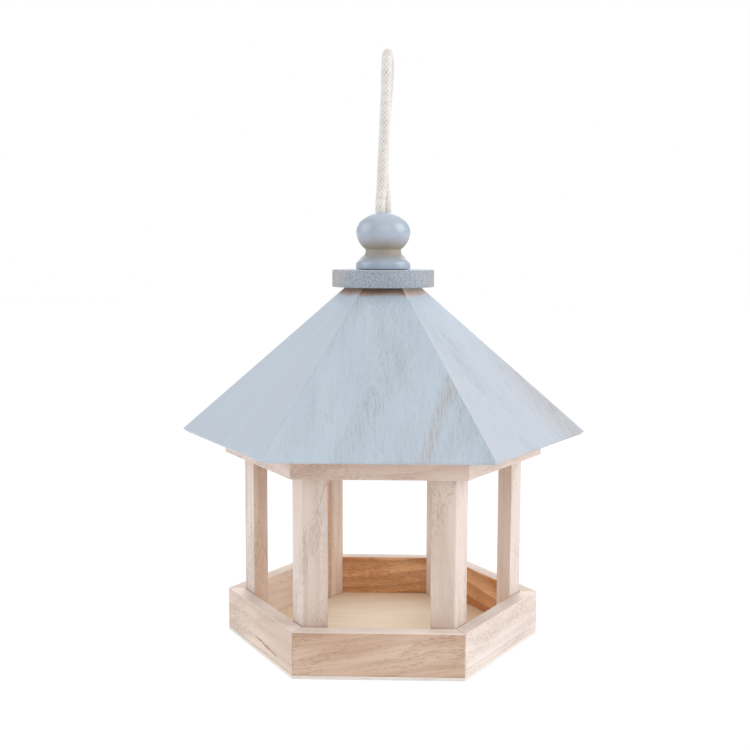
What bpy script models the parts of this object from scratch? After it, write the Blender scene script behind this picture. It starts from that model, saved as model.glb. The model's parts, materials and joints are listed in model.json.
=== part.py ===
"""A hanging bird feeder: a six-sided wooden house on a doubled cotton rope.

Lengths are in metres and +Z is up. The origin is the point under the top of the rope loop
where a hook bears. The constants give heights above the underside of the base, and
up() turns them into world heights. Side 1 faces -Y, and the sides are numbered
anticlockwise as seen from above; corner 1 points along +X.
"""

import math

import bmesh
import bpy
from mathutils import Vector
from mathutils.geometry import interpolate_bezier

MM = 0.001
GAP = 0.3 * MM  # left between pieces that touch
EASE = 0.4 * MM  # chamfer on the edges of sawn boards
SIDES = 6
STEP = math.tau / SIDES
COS30 = math.cos(math.radians(30))
TAN30 = math.tan(math.radians(30))

# The tray. An apothem is the distance from the middle to a side of the hexagon.
BASE_THICK = 2.0 * MM
TRAY_OUT = 81.0 * MM
BOARD_THICK = 8.8 * MM
TRAY_IN = TRAY_OUT - BOARD_THICK
WALL_BOTTOM = BASE_THICK + GAP
WALL_TOP = 26.3 * MM

# Posts: rhombic bars that fill the inner corners of the tray and of the top rail
POST_SIDE = 13.8 * MM
POST_TOP = 150.0 * MM

# Top rail: boards under the eaves, their top edges planed to the slope of the roof
RAIL_OUT = 82.0 * MM
RAIL_BOTTOM = 110.0 * MM

# Roof
EAVE_RADIUS = 120.0 * MM
EAVE_HEIGHT = 124.2 * MM
ROOF_TOP_RADIUS = 22.0 * MM
ROOF_TOP = 209.6 * MM
PANEL_THICK = 2.5 * MM
EAVE_OUT = EAVE_RADIUS * COS30
SLOPE = math.atan2(ROOF_TOP - EAVE_HEIGHT, EAVE_OUT - ROOF_TOP_RADIUS * COS30)
BLOCK_DEEP = 15.0 * MM

# Cap and finial, both bored for the rope
CAP_RADIUS = 30.0 * MM
CAP_THICK = 10.0 * MM
CAP_ROUND = 1.0 * MM
CAP_TOP = ROOF_TOP + CAP_THICK
BORE_RADIUS = 6.5 * MM
BALL_HEIGHT = 242.0 * MM
BALL_RADIUS = 15.9 * MM
BALL_ABOVE = 12.0 * MM
BALL_BELOW = 14.0 * MM
NECK_HEIGHT = 230.0 * MM
NECK_RADIUS = 10.4 * MM
FOOT_RADIUS = 16.0 * MM
FOOT_HEIGHT = 223.0 * MM
FOOT_BOTTOM = CAP_TOP + GAP
FOOT_ROUND = 0.8 * MM

# Rope. It bends at the pivot, just above the mouth of the bore, along spheres round it.
ROPE_RADIUS = 3.0 * MM
HOOK_HEIGHT = 340.5 * MM
PIVOT_HEIGHT = 257.0 * MM
STRAND = Vector((1.75, 2.62, 0)) * MM  # the rear strand in the bore; the front one is opposite
TAIL_DOME = 4.3 * MM
TAIL_SHOULDER = -0.8 * MM
THROAT_IN = TAIL_DOME + GAP
THROAT_OUT = 7.0 * MM
THROAT_LOW = 3.3 * MM
LOOP_CUT = THROAT_OUT + GAP
TAIL_WIDE = 8.0 * MM  # takes in both strands
TAIL_END = 196.6 * MM
SPARE = 2.0 * MM  # length that the strands are made too long, and then cut away
KNOT_HEIGHT = 184.4 * MM
KNOT_RADIUS = 10.6 * MM
KNOT_LUMP = 0.8 * MM
KNOT_END_LONG = 19.0 * MM
KNOT_END_SPREAD = 1.4  # how much further apart the cut ends are at the bottom

# The centre line of the loop above the pivot, in millimetres: up at the front, over, and down behind
LOOP_ROUTE = [
    (-1.75, -2.62, 0),
    (-1.2, -3.0, 8),
    (-0.8, -3.6, 16),
    (-0.4, -4.8, 26),
    (0.2, -6.8, 38),
    (0.8, -9.2, 50),
    (1.3, -11.3, 62),
    (1.6, -12.3, 74.2),
    (1.7, -10.65, 80.35),
    (1.9, -6.15, 84.85),
    (2.4, 0, 86.5),
    (2.9, 6.15, 84.85),
    (3.1, 10.65, 80.35),
    (2.8, 12.3, 74.2),
    (1.8, 11.3, 62),
    (0.9, 9.2, 50),
    (0.3, 6.8, 38),
    (0.1, 4.8, 26),
    (0.4, 3.6, 16),
    (1.0, 3.0, 8),
    (1.75, 2.62, 0),
]

# Wire brads that hold the base to the walls
BRAD_OUT = (TRAY_OUT + TRAY_IN) / 2
BRAD_RADIUS = 0.6 * MM
BRAD_HEAD = 1.3 * MM
BRAD_HEAD_TOP = 0.7 * MM
BRAD_TOP = 12.0 * MM
BRAD_POINT = 1.5 * MM

# Facets round the turned shapes and along their curves
CAP_STEPS = 48
ROUND_STEPS = 36
FINE_STEPS = 24
HOLE_STEPS = 16
BRAD_STEPS = 12
BALL_STEPS = 8
EDGE_STEPS = 3
SHARP = math.radians(35)


def up(height):
    """World height of a point at this height above the underside of the base."""
    return height - HOOK_HEIGHT


def material(name, colour, roughness, metallic=0.0):
    made = bpy.data.materials.new(name)
    made.use_nodes = True
    shader = made.node_tree.nodes["Principled BSDF"]
    shader.inputs["Base Color"].default_value = (*colour, 1)
    shader.inputs["Roughness"].default_value = roughness
    shader.inputs["Metallic"].default_value = metallic
    return made


def empty(name, height):
    """An empty on the feeder's axis."""
    made = bpy.data.objects.new(name, None)
    made.location = (0, 0, up(height))
    bpy.context.collection.objects.link(made)
    return made


def finish(mesh, name):
    """A Blender mesh from a bmesh, with its faces pointing out."""
    bmesh.ops.recalc_face_normals(mesh, faces=mesh.faces)
    data = bpy.data.meshes.new(name)
    mesh.to_mesh(data)
    mesh.free()
    return data


def place(name, data, skin, parent, height=0.0, turn=0.0):
    """An object on the axis: its mesh's zero at this height, turned about Z, held by parent."""
    made = bpy.data.objects.new(name, data)
    bpy.context.collection.objects.link(made)
    made.parent = parent
    made.location = (0, 0, up(height) - parent.location.z)
    made.rotation_euler.z = turn
    if skin and not data.materials:
        data.materials.append(skin)
    return made


def ease(obj):
    """Chamfers a sawn board's edges."""
    bevel = obj.modifiers.new("ease", "BEVEL")
    bevel.width = EASE
    bevel.segments = 1
    bevel.limit_method = "ANGLE"


def guide(obj):
    """Hides a shape that only cuts others."""
    obj.hide_render = True
    obj.display_type = "WIRE"
    return obj


def boolean(obj, cutter, operation="DIFFERENCE"):
    cut = obj.modifiers.new(cutter.name, "BOOLEAN")
    cut.object = cutter
    cut.operation = operation
    cut.solver = "EXACT"


def round_off(data):
    data.shade_smooth()
    data.set_sharp_from_angle(angle=SHARP)


def mitred_board(name, profile):
    """The board on side 1. Its section is a list of (apothem, height) corners, and its ends are mitred."""
    mesh = bmesh.new()
    ends = []
    for way in (-1, 1):
        corners = []
        for apothem, height in profile:
            half = apothem * TAN30 - GAP / 2 / COS30
            corners.append(mesh.verts.new((way * half, -apothem, height)))
        mesh.faces.new(corners)
        ends.append(corners)
    left, right = ends
    for i in range(len(profile)):
        mesh.faces.new((left[i - 1], left[i], right[i], right[i - 1]))
    return finish(mesh, name)


def prism(name, outline, bottom, top, narrowing=1.0):
    """A solid between two heights over an outline, whose top may be narrower."""
    mesh = bmesh.new()
    low = [mesh.verts.new((x, y, bottom)) for x, y in outline]
    high = [mesh.verts.new((x * narrowing, y * narrowing, top)) for x, y in outline]
    mesh.faces.new(low)
    mesh.faces.new(high)
    for i in range(len(outline)):
        mesh.faces.new((low[i - 1], low[i], high[i], high[i - 1]))
    return finish(mesh, name)


def hexagon(apothem):
    """Corners of a hexagon with one corner along +X."""
    radius = apothem / COS30
    return [(radius * math.cos(i * STEP), radius * math.sin(i * STEP)) for i in range(SIDES)]


def turned(name, profile, steps=ROUND_STEPS):
    """A solid turned about Z from a closed outline of (radius, height) points."""
    mesh = bmesh.new()
    points = [mesh.verts.new((radius, 0, height)) for radius, height in profile]
    edges = []
    for i in range(len(points)):
        if profile[i - 1][0] > 0 or profile[i][0] > 0:
            edges.append(mesh.edges.new((points[i - 1], points[i])))
    bmesh.ops.spin(
        mesh, geom=points + edges, cent=(0, 0, 0), axis=(0, 0, 1), angle=math.tau, steps=steps
    )
    bmesh.ops.remove_doubles(mesh, verts=mesh.verts, dist=MM / 100)
    data = finish(mesh, name)
    round_off(data)
    return data


def arc(centre, across, high, start, end, steps):
    """Points on an ellipse in the (radius, height) plane; angles run from its top, in degrees."""
    points = []
    for i in range(steps + 1):
        angle = math.radians(start + (end - start) * i / steps)
        points.append((centre[0] + across * math.sin(angle), centre[1] + high * math.cos(angle)))
    return points


def smooth(route, steps):
    """Points on a smooth curve through the route: each span is a Bezier curve of this many steps."""
    ends = [2 * route[0] - route[1], *route, 2 * route[-1] - route[-2]]
    points = [route[0]]
    for before, start, end, after in zip(ends, ends[1:], ends[2:], ends[3:]):
        out = start + (end - before) / 6
        back = end - (after - start) / 6
        points += interpolate_bezier(start, out, back, end, steps + 1)[1:]
    return points


def rope(name, points):
    """The mesh of a rope along these points: a curve with a round bevel and filled ends."""
    curve = bpy.data.curves.new(name, "CURVE")
    curve.dimensions = "3D"
    curve.bevel_depth = ROPE_RADIUS
    curve.bevel_resolution = 3
    curve.use_fill_caps = True
    spline = curve.splines.new("POLY")
    spline.points.add(len(points) - 1)
    for target, point in zip(spline.points, points):
        target.co = (*point, 1)
    holder = bpy.data.objects.new(name, curve)
    bpy.context.collection.objects.link(holder)
    graph = bpy.context.evaluated_depsgraph_get()
    data = bpy.data.meshes.new_from_object(holder.evaluated_get(graph))
    bpy.data.objects.remove(holder)
    weld = bmesh.new()
    weld.from_mesh(data)
    bmesh.ops.remove_doubles(weld, verts=weld.verts, dist=MM / 100)
    weld.to_mesh(data)
    weld.free()
    return data


def under_roof(apothem, clearance=0.0):
    """Height of the underside of the roof panels, less a clearance square to them."""
    return EAVE_HEIGHT + (EAVE_OUT - apothem) * math.tan(SLOPE) - (PANEL_THICK + clearance) / math.cos(SLOPE)


def inside_roof(height, clearance=0.0):
    """Apothem of the underside of the roof panels at a height, less a clearance square to them."""
    drop = height - EAVE_HEIGHT + (PANEL_THICK + clearance) / math.cos(SLOPE)
    return EAVE_OUT - drop / math.tan(SLOPE)


def brad_holes(parent):
    """One drill per wall: a shallow seat for the head, then the hole for the shank."""
    wide = BRAD_HEAD + GAP
    narrow = BRAD_RADIUS + GAP
    seat = BRAD_HEAD_TOP + GAP
    end = BRAD_TOP + GAP
    profile = [(0, end), (narrow, end), (narrow, seat), (wide, seat), (wide, -GAP), (0, -GAP)]
    drills = []
    for i in range(SIDES):
        data = turned(f"brad_hole_{i + 1}", profile, HOLE_STEPS)
        for vertex in data.vertices:
            vertex.co.y -= BRAD_OUT
        drills.append(guide(place(data.name, data, None, parent, 0, i * STEP)))
    return drills


def brads(parent, skin):
    """A brad up through the base into the middle of each wall."""
    profile = [
        (0, BRAD_TOP),
        (BRAD_RADIUS, BRAD_TOP - BRAD_POINT),
        (BRAD_RADIUS, BRAD_HEAD_TOP),
        (BRAD_HEAD, BRAD_HEAD_TOP),
        (BRAD_HEAD, GAP),
        (0, GAP),
    ]
    data = turned("base_brad", profile, BRAD_STEPS)
    for vertex in data.vertices:
        vertex.co.y -= BRAD_OUT
    for i in range(SIDES):
        place(f"base_brad_{i + 1}", data, skin, parent, 0, i * STEP)


def base_plate(parent, skin, drills):
    data = prism("base_plate", hexagon(TRAY_OUT), 0, BASE_THICK)
    plate = place("base_plate", data, skin, parent)
    for drill in drills:
        boolean(plate, drill)


def tray_walls(parent, skin, drills):
    section = [
        (TRAY_OUT, WALL_BOTTOM),
        (TRAY_OUT, WALL_TOP),
        (TRAY_IN, WALL_TOP),
        (TRAY_IN, WALL_BOTTOM),
    ]
    data = mitred_board("tray_wall", section)
    for i, drill in enumerate(drills):
        wall = place(f"tray_wall_{i + 1}", data, skin, parent, 0, i * STEP)
        ease(wall)
        boolean(wall, drill)


def corner_posts(parent, skin):
    """Bars whose 120-degree edges point at the inner corners and at the middle."""
    corner = (TRAY_IN - GAP) / COS30
    near = corner - POST_SIDE / 2
    half = POST_SIDE * COS30
    outline = [(corner, 0), (near, half), (corner - POST_SIDE, 0), (near, -half)]
    data = prism("corner_post", outline, WALL_BOTTOM, POST_TOP)
    for i in range(SIDES):
        post = place(f"corner_post_{i + 1}", data, skin, parent, 0, i * STEP)
        ease(post)


def top_rails(parent, skin):
    section = [
        (RAIL_OUT, RAIL_BOTTOM),
        (RAIL_OUT, under_roof(RAIL_OUT, GAP)),
        (TRAY_IN, under_roof(TRAY_IN, GAP)),
        (TRAY_IN, RAIL_BOTTOM),
    ]
    data = mitred_board("top_rail", section)
    for i in range(SIDES):
        rail = place(f"top_rail_{i + 1}", data, skin, parent, 0, i * STEP)
        ease(rail)


def roof_panels(parent, skin):
    """Thin boards with square-cut eaves, level tops and mitred hips."""
    top = ROOF_TOP - GAP
    section = [
        (EAVE_OUT, EAVE_HEIGHT),
        (inside_roof(top, -PANEL_THICK), top),
        (inside_roof(top), top),
        (EAVE_OUT - PANEL_THICK * math.sin(SLOPE), EAVE_HEIGHT - PANEL_THICK * math.cos(SLOPE)),
    ]
    data = mitred_board("roof_panel", section)
    for i in range(SIDES):
        place(f"roof_panel_{i + 1}", data, skin, parent, 0, i * STEP)


def apex_block(parent, skin, bore):
    """The block inside the top of the roof that the panels and the cap are fixed to."""
    top = ROOF_TOP - GAP
    bottom = top - BLOCK_DEEP
    wide = inside_roof(bottom, GAP)
    narrow = inside_roof(top, GAP)
    data = prism("apex_block", hexagon(wide), bottom, top, narrow / wide)
    block = place("apex_block", data, skin, parent)
    boolean(block, bore)


def roof_cap(parent, skin):
    """The round disc on top of the roof, its edges a little rounded."""
    flat = CAP_RADIUS - CAP_ROUND
    profile = [(BORE_RADIUS, CAP_TOP)]
    profile += arc((flat, CAP_TOP - CAP_ROUND), CAP_ROUND, CAP_ROUND, 0, 90, EDGE_STEPS)
    profile += arc((flat, ROOF_TOP + CAP_ROUND), CAP_ROUND, CAP_ROUND, 90, 180, EDGE_STEPS)
    profile.append((BORE_RADIUS, ROOF_TOP))
    place("roof_cap", turned("roof_cap", profile, CAP_STEPS), skin, parent)


def finial(parent, skin):
    """A turned ball on a spreading foot, bored from end to end."""
    mouth = math.degrees(math.asin(BORE_RADIUS / BALL_RADIUS))
    waist = 180 - math.degrees(math.asin(NECK_RADIUS / BALL_RADIUS))
    centre = (0, BALL_HEIGHT)
    profile = arc(centre, BALL_RADIUS, BALL_ABOVE, mouth, 90, BALL_STEPS)
    profile += arc(centre, BALL_RADIUS, BALL_BELOW, 90, waist, BALL_STEPS // 2)[1:]
    for i in range(BALL_STEPS + 1):
        along = i / BALL_STEPS
        radius = NECK_RADIUS + (FOOT_RADIUS - NECK_RADIUS) * (1 - math.cos(math.pi * along)) / 2
        profile.append((radius, NECK_HEIGHT + (FOOT_HEIGHT - NECK_HEIGHT) * along))
    corner = (FOOT_RADIUS - FOOT_ROUND, FOOT_BOTTOM + FOOT_ROUND)
    profile += arc(corner, FOOT_ROUND, FOOT_ROUND, 90, 180, EDGE_STEPS)
    profile.append((BORE_RADIUS, FOOT_BOTTOM))
    place("finial", turned("finial", profile), skin, parent)


def bore_drill(parent):
    """The drill that bores the apex block. It reaches well past both of its faces."""
    top = CAP_TOP
    low = ROOF_TOP - 2 * BLOCK_DEEP
    data = turned("bore_drill", [(0, top), (BORE_RADIUS, top), (BORE_RADIUS, low), (0, low)])
    return guide(place("bore_drill", data, None, parent))


def rope_loop(parent, skin):
    """The loop above the bend. Its two ends are hollowed to turn on the sphere of the throat."""
    route = [Vector(point) * MM for point in LOOP_ROUTE]
    loop = place("rope_loop", rope("rope_loop", smooth(route, 2)), skin, parent, PIVOT_HEIGHT)
    ball = arc((0, 0), LOOP_CUT, LOOP_CUT, 0, 180, FINE_STEPS // 2)
    data = turned("loop_cut", ball, FINE_STEPS)
    boolean(loop, guide(place("loop_cut", data, None, parent, PIVOT_HEIGHT)))


def strand(name, way, top, bottom, skin, parent):
    """A straight length of one of the two strands: way is -1 for the front one and 1 for the rear."""
    centre = STRAND * way
    ends = [centre + Vector((0, 0, top)), centre + Vector((0, 0, bottom))]
    return place(name, rope(name, ends), skin, parent, PIVOT_HEIGHT)


def rope_throat(parent, skin):
    """The short stretch of both strands at the bend, between two spheres round the pivot."""
    outer = math.degrees(math.acos(THROAT_LOW / THROAT_OUT))
    inner = math.degrees(math.acos(THROAT_LOW / THROAT_IN))
    shell = arc((0, 0), THROAT_OUT, THROAT_OUT, 0, outer, BALL_STEPS)
    shell += arc((0, 0), THROAT_IN, THROAT_IN, inner, 0, BALL_STEPS)
    data = turned("throat_shell", shell, FINE_STEPS)
    cutter = guide(place("throat_shell", data, None, parent, PIVOT_HEIGHT))
    for side, way in (("front", -1), ("rear", 1)):
        piece = strand(f"rope_throat_{side}", way, THROAT_OUT + SPARE, THROAT_LOW - SPARE, skin, parent)
        boolean(piece, cutter, "INTERSECT")


def rope_tails(parent, skin):
    """The two strands down the bore, domed where the throat bends over them."""
    low = TAIL_END - PIVOT_HEIGHT
    shoulder = math.degrees(math.acos(TAIL_SHOULDER / TAIL_DOME))
    shape = arc((0, 0), TAIL_DOME, TAIL_DOME, 0, shoulder, BALL_STEPS)
    shape += [(TAIL_WIDE, TAIL_SHOULDER), (TAIL_WIDE, low), (0, low)]
    data = turned("tail_shape", shape, FINE_STEPS)
    cutter = guide(place("tail_shape", data, None, parent, PIVOT_HEIGHT))
    for side, way in (("front", -1), ("rear", 1)):
        piece = strand(f"rope_tail_{side}", way, TAIL_DOME + SPARE, low - SPARE, skin, parent)
        boolean(piece, cutter, "INTERSECT")


def rope_knot(parent, skin):
    """The stopper knot under the apex block: a lumpy ball with two cut ends hanging from it."""
    mesh = bmesh.new()
    bmesh.ops.create_uvsphere(mesh, u_segments=FINE_STEPS, v_segments=FINE_STEPS // 2, radius=1)
    for vertex in mesh.verts:
        x, y, z = vertex.co
        lumps = math.cos(3 * math.atan2(y, x) + 3 * z) * math.hypot(x, y)
        vertex.co *= KNOT_RADIUS + KNOT_LUMP * lumps
    knot = place("rope_knot", finish(mesh, "rope_knot"), skin, parent, KNOT_HEIGHT)
    for side, way in (("front", -1), ("rear", 1)):
        start = STRAND * way
        end = STRAND * way * KNOT_END_SPREAD - Vector((0, 0, KNOT_END_LONG))
        piece = rope(f"knot_end_{side}", [start, end])
        boolean(knot, guide(place(piece.name, piece, None, parent, KNOT_HEIGHT)), "UNION")


def main():
    for obj in list(bpy.data.objects):
        bpy.data.objects.remove(obj)

    sawn_wood = material("sawn_wood", (0.60, 0.46, 0.37), 0.72)
    post_wood = material("post_wood", (0.66, 0.52, 0.42), 0.70)
    plywood = material("plywood", (0.68, 0.50, 0.31), 0.75)
    roof_wash = material("roof_wash", (0.46, 0.56, 0.65), 0.62)
    cap_wash = material("cap_wash", (0.42, 0.48, 0.54), 0.62)
    finial_wash = material("finial_wash", (0.40, 0.49, 0.57), 0.42)
    cotton = material("cotton", (0.76, 0.73, 0.69), 0.90)
    steel = material("steel", (0.55, 0.55, 0.56), 0.35, 1.0)

    hook = empty("hook_end", PIVOT_HEIGHT)
    throat = empty("throat_pivot", PIVOT_HEIGHT)
    feeder = empty("feeder_pivot", PIVOT_HEIGHT)

    drills = brad_holes(feeder)
    base_plate(feeder, plywood, drills)
    tray_walls(feeder, sawn_wood, drills)
    corner_posts(feeder, post_wood)
    top_rails(feeder, sawn_wood)
    roof_panels(feeder, roof_wash)
    apex_block(feeder, sawn_wood, bore_drill(feeder))
    roof_cap(feeder, cap_wash)
    finial(feeder, finial_wash)
    brads(feeder, steel)

    rope_loop(hook, cotton)
    rope_throat(throat, cotton)
    rope_tails(feeder, cotton)
    rope_knot(feeder, cotton)


main()
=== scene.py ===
"""The looks of the hanging bird feeder: a braided cotton rope, sawn wood and a blue-washed roof.

Every length is in metres unless its name or comment says millimetres. Places come from the
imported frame, whose origin is the point under the rope loop where the hook bears.
"""

import json
import math

import bmesh
import bpy
import numpy as np
from mathutils import Matrix, Vector
from mathutils.geometry import interpolate_bezier


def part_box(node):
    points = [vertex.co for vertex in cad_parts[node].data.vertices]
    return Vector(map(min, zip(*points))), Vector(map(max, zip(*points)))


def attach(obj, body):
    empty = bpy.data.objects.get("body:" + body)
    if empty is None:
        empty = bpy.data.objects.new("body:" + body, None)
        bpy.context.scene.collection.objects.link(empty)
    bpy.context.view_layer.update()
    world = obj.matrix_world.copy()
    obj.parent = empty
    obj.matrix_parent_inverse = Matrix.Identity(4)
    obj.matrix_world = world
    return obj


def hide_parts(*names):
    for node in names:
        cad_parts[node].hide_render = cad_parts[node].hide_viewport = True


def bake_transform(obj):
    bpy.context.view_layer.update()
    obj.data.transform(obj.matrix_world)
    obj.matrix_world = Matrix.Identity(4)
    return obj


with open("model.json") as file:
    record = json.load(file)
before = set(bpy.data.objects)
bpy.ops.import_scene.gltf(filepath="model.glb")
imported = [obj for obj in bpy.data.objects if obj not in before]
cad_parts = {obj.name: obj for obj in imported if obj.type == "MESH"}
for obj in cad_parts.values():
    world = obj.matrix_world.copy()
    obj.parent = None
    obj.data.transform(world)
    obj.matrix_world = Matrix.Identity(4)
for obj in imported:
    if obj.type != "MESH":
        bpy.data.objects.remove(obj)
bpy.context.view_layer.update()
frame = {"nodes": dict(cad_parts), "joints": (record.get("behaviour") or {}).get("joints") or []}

MM = 0.001
SIDES = 6
STEP = math.tau / SIDES
UP = Vector((0, 0, 1))
RIGHT = Vector((1, 0, 0))
REARWARD = Vector((0, 1, 0))
PIVOT = Vector(frame["joints"][0]["pos_m"])
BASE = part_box("base_plate")[0].z

# Camera: its place, and its angles in radians
CAMERA_PLACE = (0.01505, -0.6840, -0.1081)
CAMERA_HEADING = -0.0288  # from +Y towards +X
CAMERA_PITCH = -0.1096
CAMERA_ROLL = 0.003
CAMERA_LENS = 55.53  # mm
CAMERA_SENSOR = 36  # mm

# Sanded edges: the width of the rounding on each kind of piece
BOARD_EDGE = 0.15 * MM
SHEET_EDGE = 0.25 * MM
PANEL_EDGE = 0.1 * MM
BLOCK_EDGE = 0.4 * MM
EDGE_STEPS = 2

# Glue gaps: how far a mitred end and a tray wall's underside reach into theirs
JOINT_FILL = 0.13 * MM
TRAY_DROP = 0.2 * MM

# Cap and finial, in millimetres; a level is above the underside of the base
BORE = 6.5
CAP_RADIUS = 30.0
CAP_BOTTOM = 209.6
CAP_TOP = 219.6
FOOT_RADIUS = 16.0
FOOT_LEVEL = 223.0
NECK_RADIUS = 10.4
NECK_LEVEL = 230.0
BALL_RADIUS = 15.9
BALL_LEVEL = 242.0

# Rope: its radius, how far a strand in the bore is from the axis, and the route of the loop above
# the pivot, in millimetres, as in the part's source
ROPE_RADIUS = 3.0 * MM
STRAND = Vector((1.75, 2.62, 0)) * MM
LOOP_ROUTE = [
    (-1.75, -2.62, 0),
    (-1.2, -3.0, 8),
    (-0.8, -3.6, 16),
    (-0.4, -4.8, 26),
    (0.2, -6.8, 38),
    (0.8, -9.2, 50),
    (1.3, -11.3, 62),
    (1.6, -12.3, 74.2),
    (1.7, -10.65, 80.35),
    (1.9, -6.15, 84.85),
    (2.4, 0, 86.5),
    (2.9, 6.15, 84.85),
    (3.1, 10.65, 80.35),
    (2.8, 12.3, 74.2),
    (1.8, 11.3, 62),
    (0.9, 9.2, 50),
    (0.3, 6.8, 38),
    (0.1, 4.8, 26),
    (0.4, 3.6, 16),
    (1.0, 3.0, 8),
    (1.75, 2.62, 0),
]
TAIL_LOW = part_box("rope_tail_front")[0].z
JUNCTION = PIVOT.z + 4 * MM  # where the loop's piece meets the two strands' pieces

# Braid: yarns each way round, the height of one diamond, and its relief
YARNS = 8
DIAMOND = 2.7 * MM
RELIEF = 0.42 * MM
ROUND = 64  # points in a ring
RING_GAP = 0.36 * MM


def up(height):
    """World height of a point this many millimetres above the underside of the base."""
    return BASE + height * MM


# --- Camera ---


def make_camera():
    data = bpy.data.cameras.new("camera")
    data.lens = CAMERA_LENS
    data.sensor_width = CAMERA_SENSOR
    camera = bpy.data.objects.new("camera", data)
    bpy.context.scene.collection.objects.link(camera)
    flat = math.cos(CAMERA_PITCH)
    ahead = Vector(
        (math.sin(CAMERA_HEADING) * flat, math.cos(CAMERA_HEADING) * flat, math.sin(CAMERA_PITCH))
    )
    level = ahead.cross(UP).normalized()
    lift = level.cross(ahead)
    right = level * math.cos(CAMERA_ROLL) + lift * math.sin(CAMERA_ROLL)
    above = lift * math.cos(CAMERA_ROLL) - level * math.sin(CAMERA_ROLL)
    axes = Matrix((right, above, -ahead)).transposed()
    camera.matrix_world = Matrix.Translation(CAMERA_PLACE) @ axes.to_4x4()
    bpy.context.scene.camera = camera


# --- Material nodes ---


def srgb(code):
    """A linear colour from a hex code."""
    parts = [int(code[i : i + 2], 16) / 255 for i in (0, 2, 4)]
    return (*[c / 12.92 if c <= 0.04045 else ((c + 0.055) / 1.055) ** 2.4 for c in parts], 1)


def add(tree, kind, inputs=None, **settings):
    """A new node; each input is a value or another node's output."""
    node = tree.nodes.new("ShaderNode" + kind)
    for key, value in settings.items():
        setattr(node, key, value)
    for key, value in (inputs or {}).items():
        if isinstance(value, bpy.types.NodeSocket):
            tree.links.new(value, node.inputs[key])
        else:
            node.inputs[key].default_value = value
    return node


def maths(tree, operation, a, b=0.0):
    return add(tree, "Math", {0: a, 1: b}, operation=operation).outputs[0]


def plus(tree, a, b):
    return maths(tree, "ADD", a, b)


def minus(tree, a, b):
    return maths(tree, "SUBTRACT", a, b)


def times(tree, a, b):
    return maths(tree, "MULTIPLY", a, b)


def mix(tree, share, a, b, blend="MIX"):
    """The colour a with this share of b; each is a hex code or another node's output."""
    a, b = (srgb(colour) if isinstance(colour, str) else colour for colour in (a, b))
    node = add(tree, "Mix", {0: share, 6: a, 7: b}, data_type="RGBA", blend_type=blend)
    return node.outputs[2]


def rise(tree, value, low, high, top=1.0):
    """0 below low, top above high, and smooth between. Where low is the larger, it is top below
    high and 0 above low."""
    inputs = {0: value, 1: low, 2: high, 3: 0.0, 4: top}
    return add(tree, "MapRange", inputs, interpolation_type="SMOOTHSTEP").outputs[0]


def noise(tree, place, scale, detail=2.0, roughness=0.5):
    """Noise whose size along each axis is set by scale, per millimetre."""
    stretched = add(tree, "VectorMath", {0: place, 1: scale}, operation="MULTIPLY").outputs[0]
    inputs = {"Vector": stretched, "Scale": 1.0, "Detail": detail, "Roughness": roughness}
    return add(tree, "TexNoise", inputs).outputs[0]


def turn_place(tree, place, degrees):
    """The place turned about the axis through the board's thickness."""
    inputs = {"Vector": place, "Angle": math.radians(degrees)}
    return add(tree, "VectorRotate", inputs, rotation_type="Z_AXIS").outputs[0]


def attribute(tree, name, output="Fac"):
    """A number stored on the mesh, or a vector where output is "Vector"."""
    return add(tree, "Attribute", attribute_name=name).outputs[output]


def attribute_parts(tree, name):
    """The three parts of a vector stored on the mesh."""
    return add(tree, "SeparateXYZ", {0: attribute(tree, name, "Vector")}).outputs


def in_millimetres(tree, place):
    return add(tree, "VectorMath", {0: place, "Scale": 1000.0}, operation="SCALE").outputs[0]


def new_material(name, roughness=0.7):
    """A material, its tree and its shader."""
    made = bpy.data.materials.new(name)
    made.use_nodes = True
    tree = made.node_tree
    shader = tree.nodes["Principled BSDF"]
    shader.inputs["Roughness"].default_value = roughness
    return made, tree, shader


def connect(tree, shader, colour, height, depth, roughness=None):
    """Colour, bump and roughness to the shader; depth is the bump's height in millimetres."""
    tree.links.new(colour, shader.inputs["Base Color"])
    bump = add(tree, "Bump", {"Strength": 1.0, "Distance": depth * MM, "Height": height})
    tree.links.new(bump.outputs[0], shader.inputs["Normal"])
    if roughness is not None:
        tree.links.new(roughness, shader.inputs["Roughness"])


# --- Materials ---


def grain_fields(tree, ring=8.0, wander=26.0):
    """The wood's figure, from the grain attribute, whose x runs along the grain: the place in
    millimetres as the fibres follow it, growth lines, soft bands, long streaks, fine fibres,
    flames that lean across the grain, and the pores, which gather in the flames. ring is the
    distance from one growth line to the next, and wander is how far they stray, in millimetres."""
    place = in_millimetres(tree, attribute(tree, "grain", "Vector"))
    drift = minus(tree, noise(tree, place, (0.008, 0.03, 0.03), 2.0), 0.5)
    parts = add(tree, "SeparateXYZ", {0: place}).outputs
    across = plus(tree, parts[1], times(tree, drift, wander))
    across = plus(tree, across, times(tree, parts[2], 0.5))
    followed = add(tree, "CombineXYZ", {0: parts[0], 1: across, 2: parts[2]}).outputs[0]
    phase = maths(tree, "FRACT", maths(tree, "DIVIDE", across, ring))
    growth = times(tree, rise(tree, phase, 0.15, 0.9), rise(tree, phase, 1.0, 0.92))
    bands = noise(tree, followed, (0.012, 0.05, 0.05), 2.0)
    streaks = noise(tree, followed, (0.025, 0.8, 0.8), 2.0)
    fibres = noise(tree, followed, (0.12, 2.4, 2.4), 3.0, 0.65)
    dashes = noise(tree, followed, (0.33, 2.3, 2.3), 1.0)
    flames = noise(tree, turn_place(tree, place, -15), (0.014, 0.07, 0.07), 2.0)
    dashes = plus(tree, dashes, times(tree, growth, 0.05))
    dashes = plus(tree, dashes, times(tree, flames, 0.9))
    pores = rise(tree, dashes, 1.03, 1.18)
    return followed, growth, bands, streaks, fibres, flames, pores


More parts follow.
